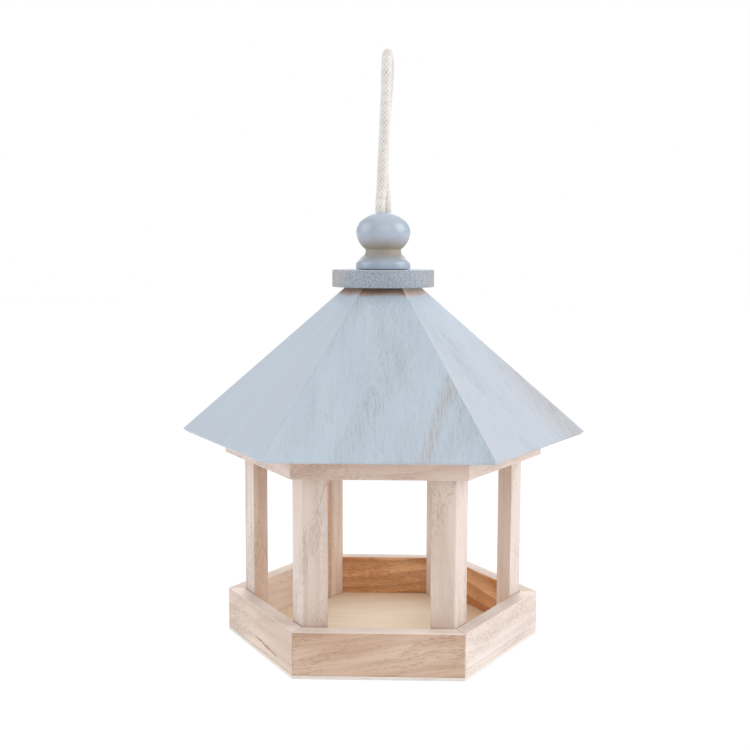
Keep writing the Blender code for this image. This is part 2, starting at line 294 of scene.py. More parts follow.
# The crack in a tray wall, in millimetres: its height above the base, its middle and half its
# length along the board, the length over which an end fades, and how far it strays up and down
CRACK_LEVEL = 8.5
CRACK_MIDDLE = 11.0
CRACK_REACH = 17.0
CRACK_FADE = 4.0
CRACK_WANDER = 3.0
CRACK_SLOPE = 0.1  # down the board for each millimetre along


def crack_share(tree, place, fibres):
    """How much of the crack shows. The split attribute is (along the board from its middle, height
    above the base) in millimetres, and 1 where the board has the crack."""
    at = attribute_parts(tree, "split")
    ragged = minus(tree, noise(tree, place, (0.2, 0.2, 0.2)), 0.5)
    level = plus(tree, at[1], times(tree, ragged, CRACK_WANDER))
    level = plus(tree, level, times(tree, at[0], CRACK_SLOPE))
    off = maths(tree, "ABSOLUTE", minus(tree, level, CRACK_LEVEL))
    share = times(tree, rise(tree, off, 0.75, 0.2, 0.85), at[2])
    reach = maths(tree, "ABSOLUTE", minus(tree, at[0], CRACK_MIDDLE))
    share = times(tree, share, rise(tree, reach, CRACK_REACH, CRACK_REACH - CRACK_FADE))
    return times(tree, share, rise(tree, fibres, 0.30, 0.42))


def wood(name, outer, pale, inner):
    """Bare sawn wood. outer, pale and inner are (light, dark, line) hex codes. Each face stores how
    pale it is, partly its board's own colour and partly painted highlight, which takes it from the
    outer colours to the pale ones; how much painted shade it has, which takes it to the warmer
    inner ones; and how much painted light, which takes it to near white."""
    made, tree, shader = new_material(name)
    place, growth, bands, streaks, fibres, flames, pores = grain_fields(tree)
    tone_and_light = attribute_parts(tree, "tone_and_light")
    # Painted highlight and painted shade: each face mixes towards the pale colours, partly its own
    # colour and partly painted highlight, and towards the warmer inner ones as painted shade.
    light, dark, line = (
        mix(tree, tone_and_light[1], mix(tree, tone_and_light[0], a, b), c) for a, b, c in zip(outer, pale, inner)
    )
    colour = mix(tree, rise(tree, bands, 0.35, 0.68), light, dark)
    growth_share = plus(tree, times(tree, tone_and_light[1], 0.3), 0.14)
    colour = mix(tree, times(tree, growth, growth_share), colour, line)
    colour = mix(tree, rise(tree, flames, 0.5, 0.7, 0.3), colour, dark)
    colour = mix(tree, rise(tree, streaks, 0.52, 0.72, 0.5), colour, dark)
    colour = mix(tree, rise(tree, streaks, 0.46, 0.3, 0.4), colour, light)
    colour = mix(tree, rise(tree, fibres, 0.46, 0.68, 0.5), colour, dark)
    colour = mix(tree, times(tree, pores, 0.4), colour, line)
    # Painted light: lit faces whiten towards near white.
    colour = mix(tree, tone_and_light[2], colour, "FFF4EA")
    colour = mix(tree, crack_share(tree, place, fibres), colour, "915B46")
    height = minus(tree, times(tree, fibres, 0.6), pores)
    rough = plus(tree, rise(tree, fibres, 0.2, 0.8, 0.12), 0.58)
    connect(tree, shader, colour, height, 0.06, rough)
    return made


def roof_wash():
    """Thin pale blue wash on the outside of the roof, and bare wood under it. The at attribute is
    (down from the top, across) on the panel in millimetres, and 1 on the edge of the eaves, which
    has a darker painted shade. The panel attribute is (how much grain shows, how violet the wash
    is, how deep the painted shadow on the bare strip is).
    The grain fades towards the side of a panel where across is negative."""
    made, tree, shader = new_material("roof_wash")
    place, _, bands, streaks, fibres, _, pores = grain_fields(tree, 11.0, 12.0)
    washed = attribute(tree, "paint")
    panel = attribute_parts(tree, "panel")
    at = attribute_parts(tree, "at")
    sideways = plus(tree, rise(tree, at[1], -55.0, -10.0, 0.7), 0.3)
    figure = times(tree, panel[0], sideways)
    patches = noise(tree, turn_place(tree, place, 24), (0.009, 0.045, 0.045), 2.0)
    patches = plus(tree, patches, rise(tree, at[1], 22.0, 50.0, 0.2))
    strong = times(tree, rise(tree, patches, 0.40, 0.66), figure)
    share = maths(tree, "MAXIMUM", strong, times(tree, figure, 0.55))
    colour = mix(tree, rise(tree, bands, 0.3, 0.7), "BBC8D3", "B6C2CF")
    colour = mix(tree, times(tree, strong, 0.35), colour, "AAB7BE")
    violet = times(tree, rise(tree, at[0], 0.0, 75.0), panel[1])
    colour = mix(tree, violet, colour, "BAC1CB")
    dashed = times(tree, rise(tree, fibres, 0.50, 0.66, 0.6), share)
    colour = mix(tree, dashed, colour, "94A2A7")
    lined = times(tree, rise(tree, streaks, 0.5, 0.72, 0.4), share)
    colour = mix(tree, lined, colour, "A3B0B8")
    pored = times(tree, pores, times(tree, share, 0.4))
    colour = mix(tree, pored, colour, "8A969A")
    colour = thin_streak(tree, colour, at, streaks, fibres)
    # Painted shade: the down-facing edge of the eaves is a darker blue-grey.
    colour = mix(tree, times(tree, at[2], 0.8), colour, "A3A5B4")
    colour = bare_strip_and_shadow(tree, colour, at, place, fibres, panel[2])
    bare = mix(tree, rise(tree, bands, 0.4, 0.65), "E3CFC4", "D4B9A9")
    bare = mix(tree, times(tree, pores, 0.4), bare, "A98468")
    colour = mix(tree, washed, bare, colour)
    height = minus(tree, times(tree, fibres, 0.8), pores)
    connect(tree, shader, colour, times(tree, height, share), 0.05)
    return made


def thin_streak(tree, colour, at, streaks, fibres):
    """A brownish streak where the roof's wash is thin. The streak attribute is (where it starts
    across the top, how far it leans for each millimetre down, half its width)."""
    streak = attribute_parts(tree, "streak")
    centre = plus(tree, streak[0], times(tree, streak[1], at[0]))
    off = maths(tree, "ABSOLUTE", minus(tree, at[1], centre))
    off = maths(tree, "DIVIDE", off, streak[2])
    off = plus(tree, off, times(tree, minus(tree, streaks, 0.5), 2.2))
    blush = times(tree, rise(tree, off, 1.5, 0.1), rise(tree, at[0], 35.0, 80.0))
    colour = mix(tree, times(tree, blush, 0.3), colour, "B5AAA6")
    blush = times(tree, blush, rise(tree, fibres, 0.48, 0.62, 0.5))
    return mix(tree, blush, colour, "918985")


def bare_strip_and_shadow(tree, colour, at, place, fibres, dark):
    """The ragged strip under the cap that the roof's wash doesn't reach, with a painted shadow of
    the cap over it; dark is how deep that painted shade is.
    """
    ragged = minus(tree, noise(tree, place, (0.08, 0.08, 0.08), 3.0), 0.5)
    from_top = plus(tree, at[0], times(tree, ragged, 6.0))
    # Bare wood, darker on panels with deeper painted shade.
    bare_shaded = mix(tree, dark, "D9C8BD", "B4937F")
    strip = mix(tree, rise(tree, fibres, 0.4, 0.7, 0.5), bare_shaded, "8F7363")
    # Painted shadow of the cap, darkest at the top of the strip.
    shaded = times(tree, rise(tree, from_top, 8.5, 4.0, 0.8), dark)
    strip = mix(tree, shaded, strip, "6C574E")
    return mix(tree, rise(tree, from_top, 10.0, 6.8), colour, strip)


def cap_wash():
    """Grey-blue wash on the cap, speckled where the grain ends on its rim."""
    made, tree, shader = new_material("cap_wash")
    place, _, bands, _, fibres, _, pores = grain_fields(tree)
    rim = attribute(tree, "rim")
    speckle = noise(tree, place, (1.3, 1.3, 1.3), 3.0, 0.7)
    top = mix(tree, rise(tree, fibres, 0.4, 0.7), "C9CFD5", "B8C0C8")
    side = mix(tree, rise(tree, bands, 0.35, 0.65), "B0ABAB", "98A3AE")
    side = mix(tree, rise(tree, speckle, 0.48, 0.62, 0.9), side, "787D86")
    side = mix(tree, rise(tree, speckle, 0.46, 0.34, 0.8), side, "B6B6B9")
    colour = mix(tree, rim, top, side)
    colour = mix(tree, times(tree, pores, 0.3), colour, "86909A")
    connect(tree, shader, colour, speckle, 0.08)
    return made


def finial_wash():
    """Smoother paint on the turned finial, with painted light that makes the top of the ball paler,
    and thin and brownish round the neck. The height attribute is the height above the base in
    millimetres."""
    made, tree, shader = new_material("finial_wash")
    shader.inputs["Specular IOR Level"].default_value = 0.8
    place, _, bands, _, fibres, _, pores = grain_fields(tree)
    height = attribute(tree, "height")
    ragged = minus(tree, noise(tree, place, (0.25, 0.25, 0.25), 3.0), 0.5)
    at = plus(tree, height, times(tree, ragged, 4.0))
    colour = mix(tree, rise(tree, bands, 0.3, 0.7), "A9B5C4", "99A6B5")
    colour = mix(tree, rise(tree, fibres, 0.5, 0.75, 0.35), colour, "8F9CAB")
    # Painted light: paler on top of the ball.
    colour = mix(tree, rise(tree, at, BALL_LEVEL + 2, BALL_LEVEL + 10, 0.6), colour, "C2CCD7")
    colour = mix(tree, rise(tree, at, FOOT_LEVEL, FOOT_LEVEL - 2, 0.5), colour, "95A3B5")
    below_ball = rise(tree, at, BALL_LEVEL - 0.5, NECK_LEVEL + 2.5)
    thin = times(tree, below_ball, rise(tree, at, FOOT_LEVEL + 0.5, NECK_LEVEL))
    bare = mix(tree, rise(tree, at, NECK_LEVEL + 8, NECK_LEVEL + 1), "A2979A", "968B7C")
    colour = mix(tree, thin, colour, bare)
    colour = mix(tree, times(tree, pores, 0.25), colour, "7F8E9A")
    rough = plus(tree, times(tree, thin, 0.4), 0.27)
    connect(tree, shader, colour, fibres, 0.04, rough)
    return made


def plywood():
    """Thin pale sheet wood with a faint grain. Its edge is greyer, partly its own edge colour and
    partly painted shade, and its underside has painted shade.
    """
    made, tree, shader = new_material("plywood", 0.6)
    _, growth, bands, _, fibres, _, pores = grain_fields(tree, 9.0, 24.0)
    rim = attribute(tree, "rim")
    colour = mix(tree, rise(tree, bands, 0.35, 0.7), "FFF4E0", "FAECD3")
    colour = mix(tree, times(tree, growth, 0.12), colour, "E9D4B0")
    colour = mix(tree, rise(tree, fibres, 0.5, 0.75, 0.3), colour, "E8D6B8")
    colour = mix(tree, times(tree, pores, 0.12), colour, "CFB184")
    # Painted shade: the underside is darker.
    under = times(tree, attribute(tree, "under"), 0.7)
    colour = mix(tree, under, colour, "D6CDC6", "MULTIPLY")
    # The edge: greyer, partly its own colour and partly painted shade.
    edge = mix(tree, rise(tree, fibres, 0.4, 0.7), "DDD5D0", "CDC2BA")
    colour = mix(tree, rim, colour, edge)
    connect(tree, shader, colour, fibres, 0.03)
    return made


def cotton():
    """Off-white cotton yarn, with painted shade down between the yarns of the braid. The braid
    attribute is (how high on its yarn, how far across its yarn) a point is."""
    made, tree, shader = new_material("cotton", 0.9)
    shader.inputs["Sheen Weight"].default_value = 0.25
    shader.inputs["Sheen Roughness"].default_value = 0.5
    place = in_millimetres(tree, add(tree, "TexCoord").outputs["Object"])
    braid = attribute_parts(tree, "braid")
    soil = noise(tree, place, (0.12, 0.12, 0.12), 2.0)
    fuzz = noise(tree, place, (3.0, 3.0, 3.0), 2.0)
    ply = maths(tree, "SINE", times(tree, braid[1], 9.0))
    colour = mix(tree, rise(tree, soil, 0.35, 0.7), "EBE8E5", "E2DDD9")
    colour = mix(tree, rise(tree, ply, 0.2, -0.9, 0.25), colour, "CBC2BC")
    # Painted shade: darker down between the yarns.
    colour = mix(tree, rise(tree, braid[0], 0.6, 0.05, 0.85), colour, "9A8A82")
    colour = mix(tree, rise(tree, fuzz, 0.5, 0.7, 0.15), colour, "CCC4BF")
    height = plus(tree, times(tree, ply, 0.5), fuzz)
    connect(tree, shader, colour, height, 0.08)
    return made


def steel():
    """Drawn wire with faint scratches."""
    made, tree, shader = new_material("steel", 0.35)
    shader.inputs["Metallic"].default_value = 1.0
    place = in_millimetres(tree, add(tree, "TexCoord").outputs["Object"])
    scratch = noise(tree, place, (1.0, 6.0, 1.0), 3.0)
    colour = mix(tree, scratch, "C9CACC", "8D8F93")
    connect(tree, shader, colour, scratch, 0.02, rise(tree, scratch, 0.2, 0.8, 0.5))
    return made


# --- Meshes ---


def new_object(name, data, skin):
    made = bpy.data.objects.new(name, data)
    bpy.context.scene.collection.objects.link(made)
    data.materials.append(skin)
    return made


def set_floats(data, name, values):
    stored = data.attributes.new(name, "FLOAT", "POINT").data
    stored.foreach_set("value", np.asarray(values, np.float32))


def set_vectors(data, name, values):
    stored = data.attributes.new(name, "FLOAT_VECTOR", "POINT").data
    stored.foreach_set("vector", np.asarray(values, np.float32).ravel())


def points_of(data):
    flat = np.zeros(len(data.vertices) * 3, np.float32)
    data.vertices.foreach_get("co", flat)
    return flat.reshape(-1, 3).astype(float)


SEED_SHIFT = np.array((0.37, 0.61, 0.23))  # along, across and through the grain


def lay_grain(data, along, across, seed, slope=0.0):
    """Stores where each point is along the grain, across it and through it. The seed moves the
    figure, so that no two boards share one, and the slope is the grain's lean in radians."""
    through = along.cross(across)
    along, across = (
        along * math.cos(slope) + across * math.sin(slope),
        across * math.cos(slope) - along * math.sin(slope),
    )
    axes = np.array((along, across, through))
    set_vectors(data, "grain", points_of(data) @ axes.T + seed * SEED_SHIFT)


def face_values(data, value):
    """One number for each point, from the largest face that it belongs to."""
    values = np.zeros(len(data.vertices))
    largest = np.zeros(len(data.vertices))
    for face in data.polygons:
        for i in face.vertices:
            if face.area > largest[i]:
                largest[i] = face.area
                values[i] = value(face)
    return values


def rounded_copy(node, width, tangent=None, drop=0.0):
    """A copy of a CAD board with its edges sanded round. With a tangent, its mitred ends grow
    along it to leave only a hairline in the joint and keep their sharp edges. drop lowers its
    underside."""
    mesh = bmesh.new()
    mesh.from_mesh(frame["nodes"][node].data)
    bmesh.ops.remove_doubles(mesh, verts=mesh.verts, dist=0.01 * MM)
    bmesh.ops.dissolve_limit(mesh, angle_limit=math.radians(1), verts=mesh.verts, edges=mesh.edges)
    mesh.normal_update()
    moves = {}
    mitres = [face for face in mesh.faces if tangent and abs(face.normal.dot(tangent)) > 0.5]
    for face in mitres:
        for vertex in face.verts:
            moves[vertex] = tangent * math.copysign(JOINT_FILL, face.normal.dot(tangent))
    for face in mesh.faces:
        if drop and face.normal.z < -0.9:
            for vertex in face.verts:
                moves[vertex] = moves.get(vertex, Vector()) - UP * drop
    for vertex, move in moves.items():
        vertex.co += move
    joined = {edge for face in mitres for edge in face.edges}

    def sanded(edge):
        corner = edge.calc_face_angle(0) > math.radians(20)
        return edge not in joined and corner and edge.calc_length() > 2 * MM

    bmesh.ops.bevel(
        mesh,
        geom=[edge for edge in mesh.edges if sanded(edge)],
        offset=width,
        segments=EDGE_STEPS,
        profile=0.5,
        affect="EDGES",
        clamp_overlap=True,
    )
    return smooth_mesh(node, mesh, 32)


def smooth_mesh(name, mesh, sharp):
    """The bmesh as a mesh, shaded smooth but for edges sharper than this many degrees."""
    data = bpy.data.meshes.new(name)
    mesh.to_mesh(data)
    mesh.free()
    data.shade_smooth()
    data.set_sharp_from_angle(angle=math.radians(sharp))
    return data


def look(node, data, skins, slot):
    """The piece that stands for a CAD node of the feeder's body."""
    piece = new_object(node + "_look", data, skins[slot])
    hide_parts(node)
    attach(piece, "feeder")


# --- Boards ---


def side_out(number):
    """The outward direction of a side of the house."""
    angle = -math.pi / 2 + (number - 1) * STEP
    return Vector((math.cos(angle), math.sin(angle), 0))


def corner_out(number):
    """The outward direction of a corner of the house."""
    angle = (number - 1) * STEP
    return Vector((math.cos(angle), math.sin(angle), 0))


def facing(face):
    """Whether a face looks in towards the axis, rather than out, up or down."""
    outward = Vector((face.center.x, face.center.y, 0)).normalized()
    return face.normal.dot(outward) < -0.3


# Four tables by kind of board, and then by side or corner. How pale each board is, partly its own
# colour and partly painted highlight:
PALENESS_AND_HIGHLIGHT = {
    "tray_wall": (0.05, 1.0, 0.5, 0.2, 0.9, 0.6),
    "top_rail": (0.5, 1.0, 0.4, 0.1, 0.6, 0.9),
    "corner_post": (0.9, 0.9, 0.9, 0.8, 0.25, 0.1),
}
# How much painted shade makes its inner faces warmer:
SHADE_WARMTH = {
    "tray_wall": (0.9, 0.8, 1.0, 1.0, 0.15, 0.8),
    "top_rail": (0.8, 0.8, 0.8, 0.8, 0.8, 0.8),
    "corner_post": (0.3, 0.05, 0.4, 0.45, 0.8, 0.7),
}
# How much painted light whitens its inner faces:
PAINTED_LIGHT = {
    "tray_wall": (0.0, 0.0, 0.0, 0.03, 0.29, 0.0),
    "top_rail": (0.0, 0.0, 0.0, 0.0, 0.0, 0.0),
    "corner_post": (0.38, 0.32, 0.22, 0.09, 0.0, 0.0),
}
# How far its grain leans from its length, in radians:
RUN_OUT = {
    "tray_wall": (0.14, -0.04, 0.06, -0.06, 0.05, 0.02),
    "top_rail": (0.03, 0.0, -0.04, 0.05, 0.0, 0.02),
    "corner_post": (0.02, -0.03, 0.0, 0.03, 0.05, -0.04),
}
# Grain seeds: a number for each kind of board, and the step from each board to the next
KIND_SEED = {"tray_wall": 9, "top_rail": 8, "corner_post": 11}
SEED_STEP = 1.7
CRACKED_WALL = 6
# Painted shade: this post's inner face towards -Y is warmer than the other.
SHADE_ORANGE_POST = 3  # its inner face towards -Y is warmer than the other


def set_tone_and_light(data, kind, number):
    """Stores how pale each face of a board is, partly its own colour and partly painted highlight,
    and how much painted shade and painted light it has. The top edge of a tray wall has painted
    light, pale and partly whitened. Rails and posts have painted highlight, paler where they face
    +X or -X."""
    tray = kind == "tray_wall"
    pale = PALENESS_AND_HIGHLIGHT[kind][number - 1]

    def lit_top(face):
        return tray and face.normal.z > 0.7

    # Painted highlight on faces towards +X or -X, and painted light on a tray wall's top edge.
    def pale_and_lit(face):
        return max(pale, 0.9 * lit_top(face)) if tray else min(1, pale + 0.6 * abs(face.normal.x))

    inner = face_values(data, facing)
    # Painted shade makes inner faces warmer, and painted light whitens them and the top edge.
    shade_warmth = inner * SHADE_WARMTH[kind][number - 1]
    painted_light = np.maximum(inner * PAINTED_LIGHT[kind][number - 1], 0.45 * face_values(data, lit_top))
    # Painted shade: one inner face of this post is warmer still.
    if kind == "corner_post" and number == SHADE_ORANGE_POST:
        shade_orange = face_values(data, lambda face: facing(face) and face.normal.y < -0.9)
        shade_warmth = np.maximum(shade_warmth, 0.8 * shade_orange)
        painted_light = painted_light * (1 - 0.6 * shade_orange)
    set_vectors(data, "tone_and_light", np.stack((face_values(data, pale_and_lit), shade_warmth, painted_light), axis=1))


def board(kind, number, skins):
    """One tray wall, top rail or corner post, with its grain along its length."""
    node = f"{kind}_{number}"
    tray = kind == "tray_wall"
    tangent = UP.cross(side_out(number))
    if kind == "corner_post":
        slot, along, across, mitred = "post_wood", UP, UP.cross(corner_out(number)), None
    else:
        slot, along, across, mitred = "sawn_wood", tangent, UP, tangent
    data = rounded_copy(node, BOARD_EDGE, mitred, TRAY_DROP if tray else 0)
    seed = KIND_SEED[kind] + SEED_STEP * number
    lay_grain(data, along, across, seed, RUN_OUT[kind][number - 1])
    set_tone_and_light(data, kind, number)
    places = points_of(data) * 1000
    height = places[:, 2] - BASE * 1000
    cracked = np.full(len(places), float(tray and number == CRACKED_WALL))
    set_vectors(data, "split", np.stack((places @ np.array(tangent), height, cracked), axis=1))
    look(node, data, skins, slot)


def boards(skins):
    """The base, tray walls, rails, posts and apex block."""
    base = rounded_copy("base_plate", SHEET_EDGE)
    lay_grain(base, RIGHT, REARWARD, 1)
    set_floats(base, "rim", face_values(base, lambda face: abs(face.normal.z) < 0.5))
    set_floats(base, "under", face_values(base, lambda face: face.normal.z < -0.5))
    look("base_plate", base, skins, "plywood")
    for number in range(1, SIDES + 1):
        for kind in ("tray_wall", "top_rail", "corner_post"):
            board(kind, number, skins)
    block = rounded_copy("apex_block", BLOCK_EDGE)
    lay_grain(block, RIGHT, UP, 5)
    for name in ("tone_and_light", "split"):
        set_vectors(block, name, np.zeros((len(block.vertices), 3)))
    look("apex_block", block, skins, "sawn_wood")


# --- Roof, cap and finial ---

# Each roof panel: how much grain shows, how violet the wash is, how deep the painted shadow on its
# bare strip is
PANELS = (
    (1.0, 0.15, 1.0),
    (0.75, 1.0, 0.1),
    (0.7, 0.3, 0.6),
    (0.9, 0.1, 0.8),
    (0.6, 0.2, 0.5),
    (0.12, 0.4, 0.5),
)
# A streak of thin wash on each: its place across the top in millimetres, its lean for each
# millimetre down, and half its width in millimetres
THIN_STREAKS = (
    (59.0, -0.29, 4.0),
    (45.0, 0.0, 20.0),
    (-22.0, 0.1, 7.0),
    (12.0, -0.2, 5.0),
    (30.0, 0.0, 9.0),
    (70.0, 0.0, 2.0),
)


def roof_panel(number, skins):
    """One roof panel, with its grain down the slope and wash on its upper side and its edges."""
    node = f"roof_panel_{number}"
    tangent = UP.cross(side_out(number))
    data = rounded_copy(node, PANEL_EDGE, tangent)
    top = max(data.polygons, key=lambda face: face.area * max(face.normal.z, 0))
    normal = top.normal.copy()
    down = tangent.cross(normal)
    if down.z > 0:
        down = -down
    lay_grain(data, down, tangent, 3.1 * number)

    def eave(face):
        return face.normal.dot(down) > 0.9

    def painted(face):
        return eave(face) or face.normal.dot(normal) > 0.9 or abs(face.normal.dot(tangent)) > 0.5

    count = len(data.vertices)
    set_floats(data, "paint", face_values(data, painted))
    set_vectors(data, "panel", np.tile(PANELS[number - 1], (count, 1)))
    set_vectors(data, "streak", np.tile(THIN_STREAKS[number - 1], (count, 1)))
    places = points_of(data) * 1000
    along = places @ np.array(down)
    across = places @ np.array(tangent)
    at = np.stack((along - along.min(), across, face_values(data, eave)), axis=1)
    set_vectors(data, "at", at)
    look(node, data, skins, "roof_wash")


def arc(centre, across, high, start, end, steps):
    """Points on an ellipse in the (radius, height) plane; angles run from its top, in degrees."""
    points = []
    for i in range(steps + 1):
        angle = math.radians(start + (end - start) * i / steps)
        points.append((centre[0] + across * math.sin(angle), centre[1] + high * math.cos(angle)))
    return points


def turned(name, profile, steps):
    """A mesh turned about Z from a closed outline of (radius, height above the base) in
    millimetres."""
    mesh = bmesh.new()
    points = [mesh.verts.new((radius * MM, 0, up(height))) for radius, height in profile]
    edges = []
    for i in range(len(points)):
        if profile[i - 1][0] > 0 or profile[i][0] > 0:
            edges.append(mesh.edges.new((points[i - 1], points[i])))
    bmesh.ops.spin(
        mesh, geom=points + edges, cent=(0, 0, 0), axis=UP, angle=math.tau, steps=steps
    )
    bmesh.ops.remove_doubles(mesh, verts=mesh.verts, dist=0.005 * MM)
    bmesh.ops.recalc_face_normals(mesh, faces=mesh.faces)
    return smooth_mesh(name, mesh, 40)


def cap(skins):
    """The disc on the roof, with rounded edges."""
    soft = 0.6
    flat = CAP_RADIUS - soft
    profile = [(BORE, CAP_TOP)]
    profile += arc((flat, CAP_TOP - soft), soft, soft, 0, 90, 6)
    profile += arc((flat, CAP_BOTTOM + soft), soft, soft, 90, 180, 6)
    profile.append((BORE, CAP_BOTTOM))
    data = turned("roof_cap", profile, 128)
    lay_grain(data, RIGHT, REARWARD, 9)
    set_floats(data, "rim", np.hypot(*points_of(data)[:, :2].T) > (CAP_RADIUS - 0.4) * MM)
    look("roof_cap", data, skins, "cap_wash")


def finial(skins):
    """The turned ball on its spreading foot. The ball is an ellipse that is flatter above its
    middle than below."""
    above, below = 12.0, 14.0
    mouth = math.degrees(math.asin((BORE + 0.6) / BALL_RADIUS))
    waist = 180 - math.degrees(math.asin(NECK_RADIUS / BALL_RADIUS))
    lip = BALL_LEVEL + above * math.cos(math.radians(mouth))
    profile = [(BORE, lip - 0.7)]
    profile += arc((0, BALL_LEVEL), BALL_RADIUS, above, mouth, 90, 20)
    profile += arc((0, BALL_LEVEL), BALL_RADIUS, below, 90, waist, 12)[1:]
    flare_steps = 16
    for i in range(1, flare_steps + 1):
        share = i / flare_steps
        radius = NECK_RADIUS + (FOOT_RADIUS - NECK_RADIUS) * (1 - math.cos(math.pi * share)) / 2
        profile.append((radius, NECK_LEVEL + (FOOT_LEVEL - NECK_LEVEL) * share))
    soft = 0.8
    bottom = CAP_TOP + 0.3
    profile += arc((FOOT_RADIUS - soft, bottom + soft), soft, soft, 90, 180, 5)
    profile.append((BORE, bottom))
    data = turned("finial", profile, 96)
    lay_grain(data, UP, RIGHT, 4)
    set_floats(data, "height", (points_of(data)[:, 2] - BASE) * 1000)
    look("finial", data, skins, "finial_wash")


def brads(skins):
    """Round-headed wire brads under the base, where the CAD ones are. The four sizes are in
    millimetres: the head's radius, the height of its dome, the wire's radius and the length of
    its point."""
    head, dome, wire, point = 1.3, 0.5, 0.6, 1.5
    for number in range(1, SIDES + 1):
        node = f"base_brad_{number}"
        low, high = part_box(node)
        centre = (low + high) / 2
        bottom = (low.z - BASE) * 1000
        top = bottom + (high.z - low.z) * 1000
        profile = arc((0, bottom + dome), head, dome, 180, 100, 6)
        profile += [(1.28, bottom + 0.6), (wire, bottom + 0.7), (wire, top - point), (0, top)]
        data = turned(node, profile, 24)
        data.transform(Matrix.Translation((centre.x, centre.y, 0)))
        look(node, data, skins, "steel")


# --- Rope ---


def smooth(route, steps):
    """Points on a smooth curve through the route: each span is a Bezier curve of this many
    steps."""
    ends = [2 * route[0] - route[1], *route, 2 * route[-1] - route[-2]]
    points = [route[0]]
    for before, start, end, after in zip(ends, ends[1:], ends[2:], ends[3:]):
        out = start + (end - before) / 6
        back = end - (after - start) / 6
        points += interpolate_bezier(start, out, back, end, steps + 1)[1:]
    return points


def evenly(points, gap):
    """The line again, as an array with points this far apart."""
    line = np.array(points)
    steps = np.linalg.norm(np.diff(line, axis=0), axis=1)
    along = np.concatenate(([0], np.cumsum(steps)))
    count = round(along[-1] / gap) + 1
    at = np.linspace(0, along[-1], count)
    return np.stack([np.interp(at, along, line[:, k]) for k in range(3)], axis=1)


def carried_frames(line):
    """Two directions square to the line at each point, carried along it without twist."""
    ahead = np.gradient(line, axis=0)
    ahead /= np.linalg.norm(ahead, axis=1)[:, None]
    side = np.cross(ahead[0], (0.0, 1.0, 0.0))
    sides = []
    for direction in ahead:
        side = side - direction * (side @ direction)
        side /= np.linalg.norm(side)
        sides.append(side)
    sides = np.array(sides)
    return sides, np.cross(ahead, sides)


def braid_pattern(around, along):
    """The braid's surface at these angles round the rope and places along it: how high a point is
    on its yarn, from 0 between the yarns to 1, and how far across its yarn, from -1 to 1."""
    turns = YARNS * around[None, :] / math.tau
    climb = along[:, None] / DIAMOND
    one, two = turns + climb, turns - climb
    cell = (np.floor(one) + np.floor(two)) % 2
    u = 2 * (one - np.floor(one)) - 1
    v = 2 * (two - np.floor(two)) - 1
    wide = np.where(cell < 1, u, v)
    long = np.where(cell < 1, v, u)
    pillow = np.sqrt(np.clip(1 - wide**2, 0, 1)) * (1 - 0.75 * long**4)
    return pillow, wide


def tube_faces(rings):
    """The faces of a closed tube. The middles of its two ends are the points after the rings."""
    faces = []
    for i in range(rings - 1):
        for j in range(ROUND):
            k = (j + 1) % ROUND
            faces.append((i * ROUND + j, i * ROUND + k, (i + 1) * ROUND + k, (i + 1) * ROUND + j))
    middle = rings * ROUND
    last = (rings - 1) * ROUND
    for j in range(ROUND):
        k = (j + 1) % ROUND
        faces.append((middle, k, j))
        faces.append((middle + 1, last + j, last + k))
    return faces


def braided(name, line, first, last, skin):
    """A braided rope along the line from one of its points to another: yarns cross over and under
    each other both ways round. Pieces of one line match where they meet."""
    sides, others = carried_frames(line)
    around = np.arange(ROUND) * math.tau / ROUND
    pillow, wide = braid_pattern(around, np.arange(len(line)) * RING_GAP)
    radius = ROPE_RADIUS - RELIEF * (1 - pillow)
    outward = np.cos(around)[None, :, None] * sides[:, None, :]
    outward = outward + np.sin(around)[None, :, None] * others[:, None, :]
    places = line[:, None, :] + outward * radius[:, :, None]
    rows = np.arange(first, last + 1)
    middles = np.array((line[first], line[last]))
    points = np.concatenate((places[rows].reshape(-1, 3), middles))
    data = bpy.data.meshes.new(name)
    data.from_pydata(points.tolist(), [], tube_faces(len(rows)))
    data.shade_smooth()
    heights, wides = (np.concatenate((values[rows].ravel(), (0, 0))) for values in (pillow, wide))
    set_vectors(data, "braid", np.stack((heights, wides, np.zeros_like(wides)), axis=1))
    return new_object(name, data, skin)


def rope(skins):
    """One rope, up out of the bore at the front, over the hook and down into it again. It is three
    pieces, because it bends over two joints."""
    route = [PIVOT + Vector(point) * MM for point in LOOP_ROUTE]
    front_low = Vector((*(-STRAND)[:2], TAIL_LOW))
    rear_low = Vector((*STRAND[:2], TAIL_LOW))
    rising = [front_low, front_low.lerp(route[0], 0.5)]
    falling = [rear_low.lerp(route[-1], 0.5), rear_low]
    line = evenly(smooth([*rising, *route, *falling], 24), RING_GAP)
    above = np.flatnonzero(line[:, 2] > JUNCTION)
    first, last = int(above[0]), int(above[-1])
    skin = skins["cotton"]
    loop = braided("rope_braid_loop", line, first, last, skin)
    front = braided("rope_braid_front", line, 0, first, skin)
    rear = braided("rope_braid_rear", line, last, len(line) - 1, skin)
    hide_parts("rope_loop")
    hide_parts("rope_throat_front", "rope_tail_front")
    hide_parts("rope_throat_rear", "rope_tail_rear")
    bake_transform(loop)
    for piece in (front, rear):
        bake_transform(piece)
    knot = tied_knot(skin)


